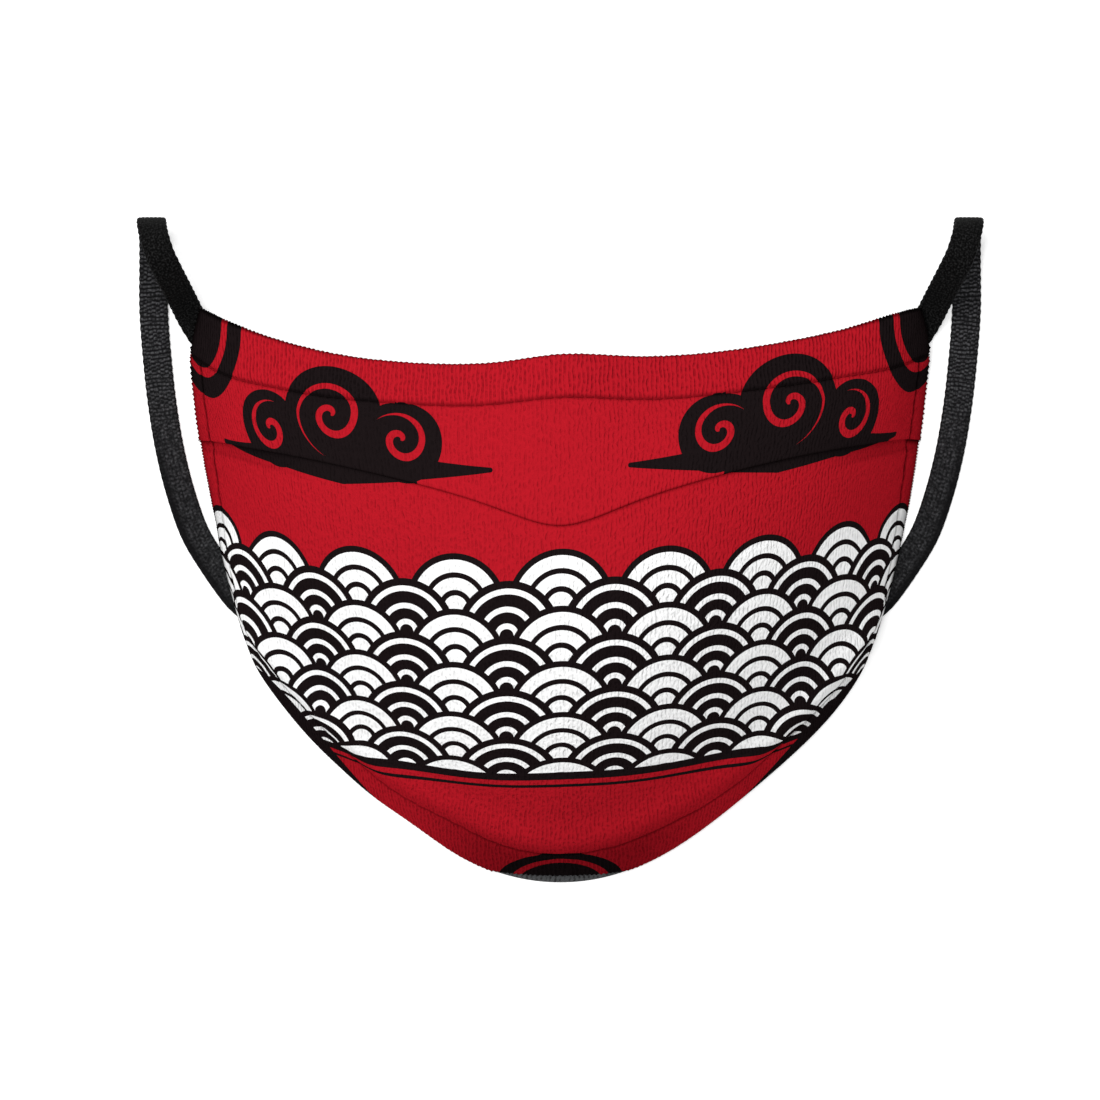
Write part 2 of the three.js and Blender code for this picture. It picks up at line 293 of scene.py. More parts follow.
# Outer cloth
# One panel of printed polyester knit with a hem stitched all round and one pleat folded across it, moulded
# into a dome over nose and chin. The cloth is half a millimetre thick and double in its hems.
cloth_low, cloth_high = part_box("outer_cloth")
HALF_WIDTH = cloth_high[0]
TOP_CORNER_Y = cloth_high[1]
CHIN_Y = cloth_low[1]
WIDEST_Y = 0.0502
TOP_CORNER_INSET = 0.0023    # from the widest place
LOWER_CORNER_Y = -0.0132
LOWER_CORNER_INSET = 0.0131
TOP_MIDDLE_Y = 0.0474
SUMMIT_Y = 0.0082            # the dome's highest place
SUMMIT_Z = 0.0486
CHIN_SLOPE = math.radians(60)
SIDE_SLOPE = math.radians(75)
SIDE_CURVE = 1.5             # power of the side edge's curve
SIDE_SPREAD = 0.56           # the rows lie further apart up the side edge than down it
NOSE_BUMP = {"rise": 0.0014, "lift": 0.0020, "half_width": 0.012, "fade": 0.3}
LEAN = 0.0012                # the nose edge is this much lower on the left and higher on the right
LEAN_FADE = 0.5              # it is level again this far down
CORNER_LIFT = {"rise": 0.0055, "from_y": 0.041, "power": 1.6}  # the rim rises where a loop passes under it
JAW_LIFT = {"rise": 0.003, "y": 0.0015, "reach": 0.015}
LIFT_INNER_EDGE = 0.72       # share of the half-width
TOP_EDGE_POWER = 2.6         # the nose edge is level in the middle and climbs near the corners
PLEAT_POWER = 1.4            # the pleat is a V with a round foot
PLEAT_FOOT = 0.08
JAW_TURN = 0.74              # how full the hem's curve is between chin and jaw

PLEAT_AT = 0.262             # share of the cloth's height above the fold
FOLD_DIP = {"share": 0.015, "half_width": 0.13}  # it hangs lower in the middle
PLEAT_BACK = 0.19            # the hidden layer turns down again here
PLEAT_LEDGE = 0.0011
PLEAT_LEDGE_AT_SIDE = 0.22   # the side hems press it flat
PRESS = (0.66, 0.90)
# Depth of the face and of the back of each layer at the pleat, as shares of the ledge
UPPER, UNDER, LOWER = (0, 0.44), (0.94, 0.47), (1, 1.44)
FOLD_BULGE, TURN_BULGE = (0.47, 0.02), (-0.03, -0.485)  # how far they swell down round the bends
PLEAT_REACH = (0.5, 0.04)    # the back follows the pleat from this share of its v to this much past it
CLOTH = 0.00048
HEM_CLOTH = 0.0008
TOP_HEM = 0.0103             # stitch lines, measured along the cloth from its edges
BOTTOM_HEM = 0.0116
CHIN_HEM = {"more": 0.0034, "over": (0.018, 0.038)}  # the bottom hem is wider within this of the middle
SIDE_STITCH = {"top": 0.908, "jaw": 0.943, "over": (0.27, 0.6)}  # share of the half-width, shifts over this
SEAM_ROUND = 0.007           # the side and bottom stitch lines run into each other over this length
ROW_STEP = 0.00066           # spacing of the mesh, and of the mesh along a stitch line
COLUMN_STEP = 0.00058
FINE_STEP = 0.0003           # used within the fine reach of a stitch line or an edge
FINE_REACH = 0.0011
HEM_MESH = 0.004             # the hem's own rows go this far past its stitch line
PANEL_MESH, LOWER_MESH = 0.018, 0.078  # lengths that set the number of rows between hem and pleat
HIDDEN_STEPS = 5
ARC_SHARES = 2001            # shares at which arc lengths are measured
HEIGHT_SHARES = 801
CHIN_PEEP = {"rise": 0.0042, "half_width": 0.0145, "short": 0.0012}  # here the lining shows below the hem
RIM_ROUND = 0.0003


def side_x(y):
    """Half the mask's width at the height y of its side edge."""
    up = np.maximum(0, y - WIDEST_Y) / (TOP_CORNER_Y - WIDEST_Y)
    down = np.maximum(0, WIDEST_Y - y) / (WIDEST_Y - LOWER_CORNER_Y)
    return HALF_WIDTH - TOP_CORNER_INSET * up ** SIDE_CURVE - LOWER_CORNER_INSET * down ** SIDE_CURVE


def rim_lift(y):
    """Height of the rim over the table where a loop passes under it."""
    corner = np.maximum(0, y - CORNER_LIFT["from_y"]) / (TOP_CORNER_Y - CORNER_LIFT["from_y"])
    jaw = 1 - smoothstep(np.abs(y - JAW_LIFT["y"]), JAW_LIFT["reach"] / 2, JAW_LIFT["reach"])
    return CORNER_LIFT["rise"] * corner ** CORNER_LIFT["power"] + JAW_LIFT["rise"] * jaw


def row_climb(t, v):
    """How far a row has climbed to the side edge, from a level nose edge over the pleat's V to the round
    chin."""
    top = t ** TOP_EDGE_POWER
    foot = (np.hypot(t, PLEAT_FOOT) - PLEAT_FOOT) / (math.hypot(1, PLEAT_FOOT) - PLEAT_FOOT)
    pleat = 1 - np.clip(1 - foot, 0, 1) ** PLEAT_POWER
    hem = t ** 2 + t ** 3 * (JAW_TURN - t) * np.sqrt(np.clip(1 - t, 0, 1))
    above = lerp(top, pleat, smoothstep(v, 0, PLEAT_AT))
    return np.where(v < PLEAT_AT, above, lerp(pleat, hem, smoothstep(v, PLEAT_AT, 1)))


def face(s, v):
    """Face of the cloth: s from -1 at the left side to 1 at the right, v from 0 at the nose edge to 1 at
    the hem."""
    s, v = np.broadcast_arrays(np.asarray(s, float), np.asarray(v, float))
    chin_arc = (SUMMIT_Y - CHIN_Y) / math.sin(CHIN_SLOPE)
    top_angle = -math.asin((TOP_MIDDLE_Y - SUMMIT_Y) / chin_arc)
    along = lerp(top_angle, CHIN_SLOPE, v)
    middle_y = SUMMIT_Y - chin_arc * np.sin(along)
    middle_z = SUMMIT_Z * (np.cos(along) - math.cos(CHIN_SLOPE)) / (1 - math.cos(CHIN_SLOPE))
    side_y = lerp(TOP_CORNER_Y, LOWER_CORNER_Y, v + SIDE_SPREAD * v * (1 - v))
    angle = s * SIDE_SLOPE
    t = np.minimum(1, np.abs(np.sin(angle)) / math.sin(SIDE_SLOPE))
    dome = (np.cos(angle) - math.cos(SIDE_SLOPE)) / (1 - math.cos(SIDE_SLOPE))
    x = np.sign(s) * t * side_x(side_y)
    nose = np.exp(-((x / NOSE_BUMP["half_width"]) ** 2)) * (1 - smoothstep(v, 0, NOSE_BUMP["fade"]))
    lean = LEAN * 4 * s * (1 - np.abs(s)) * (1 - smoothstep(v, 0, LEAN_FADE))
    y = middle_y + (side_y - middle_y) * row_climb(t, v) + NOSE_BUMP["rise"] * nose + lean
    z = middle_z * dome + NOSE_BUMP["lift"] * nose + rim_lift(side_y) * smoothstep(t, LIFT_INNER_EDGE, 1)
    return np.stack([x, y, np.maximum(z, 0)], -1)


def directions(s, v, step=0.002):
    """The cloth's normal, and the way down along it."""
    across = face(np.minimum(1, s + step), v) - face(np.maximum(-1, s - step), v)
    down = face(s, np.minimum(1, v + step)) - face(s, np.maximum(0, v - step))
    return unit(np.cross(down, across)), unit(down)


def stations(length, lines, step):
    """Distances from 0 to length, close together near each line."""
    out = [0.0]
    while out[-1] < length:
        near = any(abs(out[-1] - line) < FINE_REACH for line in lines)
        out.append(out[-1] + (FINE_STEP if near else step))
    return np.array(out) * length / out[-1]


STITCH_MIDDLE = (SIDE_STITCH["top"] + SIDE_STITCH["jaw"]) / 2


def cloth_columns():
    """Shares of the half-width for the columns, close together near the side stitch line and the side
    edge."""
    arcs = np.linspace(0, 1, ARC_SHARES)
    run = running(face(arcs, 0.5))
    stitch = np.interp(STITCH_MIDDLE, arcs, run)
    half = np.interp(stations(run[-1], [stitch, run[-1]], COLUMN_STEP), run, arcs)
    return np.concatenate([-half[:0:-1], half])


# Layout for baking, in shares of the square: the front over the back, and the rim as a strip at the top
BAKE_SIDES, BAKE_FRONT, BAKE_BACK = (0.003, 0.997), (0.003, 0.64), (0.66, 0.94)
BAKE_RIM = (0.955, 0.97, 0.985)


def close_sheet(front, back, bulge, values):
    """A closed sheet: the front grid, a back grid of every second row and column, and a rounded rim between
    them. Gives its points, its faces, the values at each point and the layout for baking."""
    rows, columns = front.shape[:2]
    top = [(0, c) for c in range(columns - 1)]
    right = [(r, columns - 1) for r in range(rows - 1)]
    bottom = [(rows - 1, c) for c in range(columns - 1, 0, -1)]
    left = [(r, 0) for r in range(rows - 1, 0, -1)]
    loop = np.array(top + right + bottom + left)
    inside = np.clip(loop, [1, 1], [rows - 2, columns - 2])
    edge = front[loop[:, 0], loop[:, 1]]
    outward = unit(edge - front[inside[:, 0], inside[:, 1]])
    rim = (edge + back[loop[:, 0], loop[:, 1]]) / 2 + outward * bulge
    coarse = back[::2, ::2]
    points = np.concatenate([front.reshape(-1, 3), rim, coarse.reshape(-1, 3)])
    points[:, 2] = np.maximum(points[:, 2], TABLE_GAP)

    def quads(ids):
        corners = [ids[:-1, :-1], ids[1:, :-1], ids[1:, 1:], ids[:-1, 1:]]
        return np.stack(corners, -1).reshape(-1, 4)

    ids = np.arange(rows * columns).reshape(rows, columns)
    rim_ids = rows * columns + np.arange(len(loop))
    back_rows, back_columns = coarse.shape[:2]
    back_ids = rows * columns + len(loop) + np.arange(coarse[..., 0].size).reshape(coarse.shape[:2])
    faces = quads(ids).tolist() + quads(back_ids)[:, ::-1].tolist()
    edge_ids = ids[loop[:, 0], loop[:, 1]]
    next_edge, next_rim = np.roll(edge_ids, -1), np.roll(rim_ids, -1)
    faces += np.stack([edge_ids, next_edge, next_rim, rim_ids], -1).tolist()

    here = np.arange(len(loop)) / len(loop)
    step = 1 / len(loop)

    def sheet_layout(rows, columns, heights):
        across, along = np.meshgrid(np.linspace(*BAKE_SIDES, columns), np.linspace(*heights, rows))
        return np.stack([across, along], -1).reshape(-1, 2)

    flat = np.concatenate([sheet_layout(rows, columns, BAKE_FRONT), np.zeros((len(loop), 2)),
                           sheet_layout(back_rows, back_columns, BAKE_BACK)])
    bake = [flat[quads(ids)].reshape(-1, 2), flat[quads(back_ids)[:, ::-1]].reshape(-1, 2)]
    foot, seam, head = BAKE_RIM
    strip = [(here, foot), (here + step, foot), (here + step, seam), (here, seam)]
    bake.append(np.stack([np.stack([u, np.full(len(loop), v)], -1) for u, v in strip], 1).reshape(-1, 2))
    for i in range(0, len(loop), 2):
        first = back_ids[loop[i][0] // 2, loop[i][1] // 2]
        following = loop[(i + 2) % len(loop)]
        second = back_ids[following[0] // 2, following[1] // 2]
        start, half, there = rim_ids[i], rim_ids[i + 1], rim_ids[(i + 2) % len(loop)]
        faces += [[start, half, first], [half, second, first], [half, there, second]]
        u0, u1, u2 = i * step, (i + 1) * step, (i + 2) * step
        bake.append(np.array([(u0, seam), (u1, seam), (u0, head), (u1, seam), (u2, head), (u0, head),
                              (u1, seam), (u2, seam), (u2, head)]))
    layers = {name: np.concatenate([grid.ravel(), grid[loop[:, 0], loop[:, 1]], grid[::2, ::2].ravel()])
              for name, grid in values.items()}
    layers["back"] = np.repeat([0.0, 1.0], [rows * columns + len(loop), back_rows * back_columns])
    return points, faces, layers, np.concatenate(bake)


def fold_rows():
    """Rows from the nose edge over the pleat to the hem: part, place, front depth, front bulge, back depth
    and back bulge, with depths and bulges as shares of the pleat's ledge."""
    def flat_rows(part, places, layer):
        return [(part, place, layer[0], 0, layer[1], 0) for place in places]

    def turned_rows(part, degrees, start, end, bulge):
        return [(part, 0, lerp(start[0], end[0], (1 - math.cos(turn)) / 2), bulge[0] * math.sin(turn),
                 lerp(start[1], end[1], (1 - math.cos(turn)) / 2), bulge[1] * math.sin(turn))
                for turn in np.radians(degrees)]

    panel, lower = int(PANEL_MESH / ROW_STEP), int(LOWER_MESH / ROW_STEP)
    layers = flat_rows("top", stations(TOP_HEM + HEM_MESH, [0, TOP_HEM], ROW_STEP), UPPER)
    layers += flat_rows("panel", [i / panel for i in range(1, panel + 1)], UPPER)
    layers += turned_rows("fold", [30, 60, 90, 120, 150], UPPER, UNDER, FOLD_BULGE)
    layers += flat_rows("under", [i / HIDDEN_STEPS for i in range(HIDDEN_STEPS + 1)], UNDER)
    layers += turned_rows("turn", [45, 90, 135], UNDER, LOWER, TURN_BULGE)
    layers += flat_rows("hidden", [i / HIDDEN_STEPS for i in range(HIDDEN_STEPS + 1)], LOWER)
    layers += flat_rows("lower", [i / lower for i in range(1, lower)], LOWER)
    hem = flat_rows("hem", stations(BOTTOM_HEM + HEM_MESH, [0, BOTTOM_HEM], ROW_STEP)[::-1], LOWER)
    if (len(layers) + len(hem)) % 2 == 0:
        layers += flat_rows("lower", [1 - 0.5 / lower], LOWER)
    return layers + hem


columns = cloth_columns()
rows = fold_rows()
fine_v = np.linspace(0, 1, HEIGHT_SHARES)
run_down = running(face(columns[None, :], fine_v[:, None]))
hem_x = np.abs(face(columns, 1)[:, 0])
peep = CHIN_PEEP["rise"] * np.maximum(0, 1 - (hem_x / CHIN_PEEP["half_width"]) ** 2)
hem_width = BOTTOM_HEM + CHIN_HEM["more"] * (1 - smoothstep(hem_x, *CHIN_HEM["over"]))
fold = PLEAT_AT + FOLD_DIP["share"] * np.exp(-(columns / FOLD_DIP["half_width"]) ** 2)


def v_at(runs):
    """v in each column where it has run that length from the nose edge."""
    runs = np.broadcast_to(runs, len(columns))
    return np.array([np.interp(run, run_down[:, c], fine_v) for c, run in enumerate(runs)])


def row_v(part, place):
    """v of a row in each column."""
    if part == "top":
        return v_at(place)
    if part == "hem":
        rise = peep * (1 - smoothstep(place, 0, BOTTOM_HEM - CHIN_PEEP["short"]))
        return v_at(run_down[-1] - place * hem_width / BOTTOM_HEM - rise)
    if part == "panel":
        return lerp(v_at(TOP_HEM + HEM_MESH), fold, place)
    if part == "lower":
        return lerp(fold, v_at(run_down[-1] - (1 + HEM_MESH / BOTTOM_HEM) * hem_width), place)
    return lerp(fold, PLEAT_BACK, {"fold": 0, "under": place, "turn": 1, "hidden": 1 - place}[part])


grid_v = np.array([row_v(part, place) for part, place, *_ in rows])
stitch_column = int(np.abs(columns - STITCH_MIDDLE).argmin())
# The columns near the side stitch line shift with it on the way down
hat = np.clip(1 - np.abs(np.abs(columns) - columns[stitch_column]) / (1 - columns[stitch_column]), 0, 1)
side_stitch = lerp(SIDE_STITCH["top"], SIDE_STITCH["jaw"], smoothstep(grid_v, *SIDE_STITCH["over"]))
grid_s = columns + np.sign(columns) * hat * (side_stitch - columns[stitch_column])

normal, down = directions(grid_s, grid_v)
ground = face(grid_s, grid_v)
ledge = PLEAT_LEDGE * lerp(1, PLEAT_LEDGE_AT_SIDE, smoothstep(np.abs(grid_s), *PRESS))
ride_up = ledge * np.minimum(1, grid_v / fold)
depth, bulge, back_depth, back_bulge = (np.array([row[k] for row in rows])[:, None] for k in (2, 3, 4, 5))
hidden = np.array([row[0] in ("under", "turn", "hidden") for row in rows])[:, None]
on_lower = np.array([row[0] in ("lower", "hem") for row in rows])[:, None]
on_upper = np.array([row[0] in ("top", "panel", "fold") for row in rows])[:, None]

# Distances along the cloth: from the nose edge and the hem, from the sides, and across from the middle
middle = len(columns) // 2
from_top = np.stack([np.interp(grid_v[:, c], fine_v, run_down[:, c]) for c in range(len(columns))], 1)
from_hem = run_down[-1] - from_top
to_fold = np.array([np.interp(fold[c], fine_v, run_down[:, c]) for c in range(len(columns))]) - from_top
run_across = running(ground, axis=1)
across = run_across - run_across[:, [middle]]
from_side = np.minimum(run_across, run_across[:, [-1]] - run_across)
side_line = np.minimum(from_side[:, [stitch_column]], from_side[:, [-1 - stitch_column]])

GROOVE = {"depth": 0.00030, "half_width": 0.00036}
# Painted shade in the stitch lines' grooves. It is darker on the side seams above the fold and a little
# below it.
SEAM_SHADE = {"half_width": 0.0005, "share": 0.62, "above_fold": 0.95, "over": (-0.022, -0.004)}
HEM_RISE = 0.00010
HEM_EDGE = (-0.0004, 0.0003)  # the hem's doubled cloth ends across this much of the stitch line
EDGE_ROLL = {"drop": 0.00028, "half_width": 0.0006}
# The knit's ribs end in fine scallops along the rim, uneven, bolder at the sides and weaker beside the chin
EDGE_WAVE = {"height": 0.00012, "uneven": (0.5, 1.3), "reach": 0.0006, "beside_chin": 0.35,
             "over": (0.012, 0.020), "side": 2.4, "side_uneven": (0.8, 1.2), "side_reach": 0.0007}
CHIN_RIBS_SHADE = {"share": 0.6, "over": (0.088, 0.104)}  # towards the chin the ribs line up, and their hollows take painted shade as of grazing light
# The cloth swells above the bottom hem, and less towards the sides
CHIN_PUFF = {"height": 0.0015, "above": 0.0056, "half_width": 0.0048, "over": (0.002, 0.014)}
# Under the fold's ends the lower cloth is pressed in, down to a faint line that parts from the fold inwards.
# Both take painted shadow.
PRESSED = {"depth": 0.00028, "at_side": 0.0016, "spread": 0.0062, "line": 0.0005, "over": (0.5, 0.75),
           "soft": 0.0004, "shade": 0.25, "line_shade": 0.45, "eased": 0.85, "eased_over": (0.88, 0.96)}
FOLD_MOUTH_SHADOW = {"right": 1.45, "over": (0.86, 0.92), "half_width": 0.0011}  # painted shadow in the mouth of the fold's ends, stronger on the right
# The fold's inside lies deeper near the sides
HIDDEN_SINK = {"depth": 0.0007, "soft": 0.0012, "back": 0.0003, "back_soft": 0.001, "over": (0.46, 0.66)}
PUCKER = {"height": 0.00006, "pitch": 0.0054, "reach": 0.0028, "bend": 0.019, "uneven": 1.7}
CHIN_SHADE_REACH = {"down": (-0.007, 0.004), "across": (0.012, 0.034)}  # painted shade on the cloth at the chin, from above the bottom seam into the hem
# Painted shade along the rim, where the edge rolls away, wider at the sides
RIM_SHADE_WIDTH = {"half_width": 0.0004, "at_side": 0.0022}
# Broad, faint waves over the whole cloth: their height, and their lengths over two pi
DRAPE = {"height": 0.00018, "across": 0.0061, "bend": 0.017, "down": 0.011, "slant": (0.0135, 0.0094)}
SEAM_START = (-0.0006, 0.0002)  # the side seams begin at the top one


def smooth_min(a, b, reach):
    """The lesser of two, rounded off where they meet."""
    near = np.clip(1 - np.abs(a - b) / reach, 0, 1)
    return np.minimum(a, b) - near ** 2 * reach / 4


def hump(x, half_width):
    """1 at x = 0, falling away softly on both sides."""
    return np.exp(-(x / half_width) ** 2)


side_share, off_middle = np.abs(grid_s), np.abs(ground[..., 0])
off_top = from_top - TOP_HEM
off_low = smooth_min(from_side - side_line, from_hem - hem_width, SEAM_ROUND)
below_top = smoothstep(off_top, *SEAM_START)
relief, seam = np.zeros_like(across), np.zeros_like(across)
side_seam_shade = lerp(SEAM_SHADE["share"], SEAM_SHADE["above_fold"], smoothstep(to_fold, *SEAM_SHADE["over"]))
along = across + from_top
wave = np.sin(2 * math.pi * along / PUCKER["pitch"] + PUCKER["uneven"] * np.sin(along / PUCKER["bend"]))
# Each stitch line puckers and sinks in a groove, which takes painted shade
for off_line, share, dark in ((off_top, 1, SEAM_SHADE["share"]), (off_low, below_top, side_seam_shade)):
    relief += share * PUCKER["height"] * wave * hump(off_line, PUCKER["reach"])
    relief -= share * GROOVE["depth"] * hump(off_line, GROOVE["half_width"])
    seam = np.maximum(seam, dark * share * hump(off_line, SEAM_SHADE["half_width"]))
hem = 1 - smoothstep(np.minimum(off_top, off_low), *HEM_EDGE)
firm = 1 - smoothstep(np.minimum(off_top, from_hem - hem_width), *HEM_EDGE)
# Towards the chin: ribs lined up, and painted shade in their hollows
firm = np.maximum(firm, CHIN_RIBS_SHADE["share"] * smoothstep(from_top, *CHIN_RIBS_SHADE["over"]))
near_side = smoothstep(side_share, *PRESSED["over"]) * on_lower
past_line = -to_fold - PRESSED["at_side"] - PRESSED["spread"] * (1 - side_share)
pressed = near_side * (1 - smoothstep(past_line, -PRESSED["soft"], PRESSED["soft"]))
eased = PRESSED["eased"] * smoothstep(side_share, *PRESSED["eased_over"])
relief -= PRESSED["depth"] * pressed * (1 - eased)
at_line = near_side * hump(past_line, PRESSED["line"])
# Painted shadow under the fold's ends, and on the pressed band and its line
mouth_shadow = np.where(grid_s > 0, FOLD_MOUTH_SHADOW["right"], 1.0) * smoothstep(side_share, *FOLD_MOUTH_SHADOW["over"])
under_fold = mouth_shadow * ~on_upper * hump(to_fold, FOLD_MOUTH_SHADOW["half_width"])
seam = np.maximum.reduce([seam, PRESSED["shade"] * pressed, PRESSED["line_shade"] * at_line, under_fold])
by_side = smoothstep(side_share, *HIDDEN_SINK["over"])
relief -= HIDDEN_SINK["depth"] * hidden * by_side * smoothstep(to_fold, 0, HIDDEN_SINK["soft"])
puff = hump(from_hem - hem_width - CHIN_PUFF["above"], CHIN_PUFF["half_width"])
relief += CHIN_PUFF["height"] * puff * smoothstep(from_side, *CHIN_PUFF["over"])
# Painted shade at the chin, darker towards the hem
painted_chin_shade = smoothstep(hem_width - from_hem, *CHIN_SHADE_REACH["down"]) * (1 - smoothstep(off_middle, *CHIN_SHADE_REACH["across"]))
to_edge = np.minimum.reduce([from_top, from_hem - peep, from_side])
# Painted shade along the rim
rim = np.maximum(hump(to_edge, RIM_SHADE_WIDTH["half_width"]), hump(from_side, RIM_SHADE_WIDTH["at_side"]))
relief += HEM_RISE * hem - EDGE_ROLL["drop"] * hump(to_edge, EDGE_ROLL["half_width"])
chance = np.random.default_rng(7)
column_wave, row_wave = (
    EDGE_WAVE["height"] * chance.uniform(*EDGE_WAVE[uneven], count) * (-1.0) ** np.arange(count)
    for uneven, count in (("uneven", len(columns)), ("side_uneven", len(rows))))
at_hem, at_top = hump(from_hem - peep, EDGE_WAVE["reach"]), hump(from_top, EDGE_WAVE["reach"])
at_hem *= lerp(1, EDGE_WAVE["beside_chin"], smoothstep(off_middle, *EDGE_WAVE["over"]))
ground += down * (column_wave * (at_hem - at_top))[..., None]
relief += column_wave * at_hem
relief += EDGE_WAVE["side"] * row_wave[:, None] * hump(from_side, EDGE_WAVE["side_reach"])
drape = np.sin(across / DRAPE["across"] + 2.0 * np.sin(from_top / DRAPE["bend"]))
drape *= np.sin(from_top / DRAPE["down"] + 0.6)
drape += np.sin(across / DRAPE["slant"][0] + from_top / DRAPE["slant"][1] + 1.1)
ground += normal * (DRAPE["height"] * drape + relief)[..., None]

front = ground + normal * (ride_up - depth * ledge)[..., None] + down * (bulge * ledge)[..., None]
thin = lerp(CLOTH, HEM_CLOTH, hem)
folded = smoothstep(grid_v, PLEAT_AT * PLEAT_REACH[0], PLEAT_BACK)
folded *= 1 - smoothstep(grid_v, PLEAT_AT, PLEAT_AT + PLEAT_REACH[1])
plain_back = ride_up - depth * ledge - thin
folded_back = ride_up - back_depth * ledge
off_fold = smoothstep(np.abs(to_fold), 0, HIDDEN_SINK["back_soft"])
folded_back -= HIDDEN_SINK["back"] * by_side * off_fold * ~hidden
back_height = np.where(hidden, folded_back, lerp(plain_back, folded_back, folded))
back = ground + normal * back_height[..., None] + down * (back_bulge * ledge)[..., None]

JAW_BORDER = {"from": 0.45, "width": 0.0085}  # share of the half-width, and width at its middle
jaw_share = np.clip((side_share - JAW_BORDER["from"]) / (1 - JAW_BORDER["from"]), 0, 1)
jaw_ink = np.where(on_lower, from_hem - JAW_BORDER["width"] * np.sin(math.pi * jaw_share), 1)

# What the stitches need of the cloth: its face, its normal, its place in the print, and its painted shade
surface = np.concatenate([front, normal, np.stack([across, from_top, jaw_ink, painted_chin_shade, seam], -1)], -1)

points, faces, layers, bake = close_sheet(front, back, RIM_ROUND, {
    "u": across, "d": from_top, "jaw_ink": jaw_ink, "seam": seam, "rim": rim, "firm": firm, "painted_chin_shade": painted_chin_shade})
cloth_uv = np.stack([layers.pop("u"), layers.pop("d")], -1)


# Counts a metre: the knit wanders over 4 mm, and its hollows are drawn 0.7 mm wide, coarser than real ones
KNIT_WANDER, KNIT_HOLLOWS = 240.0, 1500.0
UPRIGHT = (1.0, 0.6, 1.0)    # the hollows are longer than they are wide
HOLLOW_FROM, HOLLOW_TO = 0.36, 0.66  # share of the noise
GAP_FROM, GAP_TO = -0.5, 0.9  # cosine across a rib
STREWN_ON_RIB, LINED_UNBROKEN = 0.45, 0.15


def knit(tree, wale, firm, stray):
    """Height of a knit's face, 0 in its hollows and 1 on its loops: short upright hollows strewn over it,
    which line up in ribs where firm is 1. Both wander by stray."""
    place = add(tree, "UVMap", uv_map="cloth")
    wobble = add(tree, "TexNoise", {"Vector": place, "Scale": KNIT_WANDER, "Detail": 2.0}, out="Color")
    wobble = add(tree, "VectorMath", [wobble, (0.5, 0.5, 0.5)], "SUBTRACT")
    wobble = add(tree, "VectorMath", {0: wobble, "Scale": stray}, "SCALE")
    place = add(tree, "VectorMath", [place, wobble], "ADD")
    upright = add(tree, "VectorMath", [place, UPRIGHT], "MULTIPLY")
    hollow = add(tree, "TexNoise", {"Vector": upright, "Scale": KNIT_HOLLOWS, "Detail": 1.5}, out="Fac")
    hollow = add(tree, "MapRange", [hollow, HOLLOW_FROM, HOLLOW_TO])
    aside = add(tree, "SeparateXYZ", [place])
    aside = add(tree, "Math", [aside, 2 * math.pi / wale], "MULTIPLY")
    aside = add(tree, "Math", [aside], "COSINE")
    rib_gap = add(tree, "MapRange", [aside, GAP_FROM, GAP_TO], interpolation_type="SMOOTHSTEP")
    strewn = add(tree, "MapRange", {0: rib_gap, 3: STREWN_ON_RIB, 4: 1.0})
    strewn = add(tree, "Math", [strewn, hollow], "MULTIPLY")
    broken = add(tree, "MapRange", {0: hollow, 3: LINED_UNBROKEN, 4: 1.0})
    lined = add(tree, "Math", [rib_gap, broken], "MULTIPLY")
    hollow = add(tree, "Mix", {0: firm, 2: strewn, 3: lined}, data_type="FLOAT")
    return add(tree, "Math", [1.0, hollow], "SUBTRACT")


# The wave print: overlapping discs of rings in rows, each row half a disc along and in front of the row
# above, white ones and black ones by turns
WAVE_RADIUS = 0.0112
WAVE_TOP = 0.0520            # middle of the first row's discs, from the nose edge
WAVE_FOOT = 0.0895
FAR_OFF = 9.0                # radii, outside every disc
FOOT_LINES = [(0.0895, 0.0915), (0.0928, 0.0936)]  # two black lines under the waves, each from and to
# Rings from the middle of a disc outwards: share of its radius where one begins, and 1 for white
WHITE_DISC = [(0.0, 1), (0.24, 0), (0.34, 1), (0.56, 0), (0.66, 1), (0.885, 0)]
BLACK_DISC = [(0.0, 0), (0.14, 1), (0.24, 0), (0.44, 1), (0.54, 0), (0.76, 1), (0.86, 0)]


def rings(tree, reach, stops):
    """1 in a disc's white rings and 0 in its black ones."""
    ramp = add(tree, "ValToRGB", [reach], out=None)
    ramp.color_ramp.interpolation = "CONSTANT"
    elements = ramp.color_ramp.elements
    for place, white in stops[2:]:
        elements.new(place).color = (white, white, white, 1)
    for element, (place, white) in zip(elements, stops):
        element.position = place
        element.color = (white, white, white, 1)
    return ramp.outputs[0]


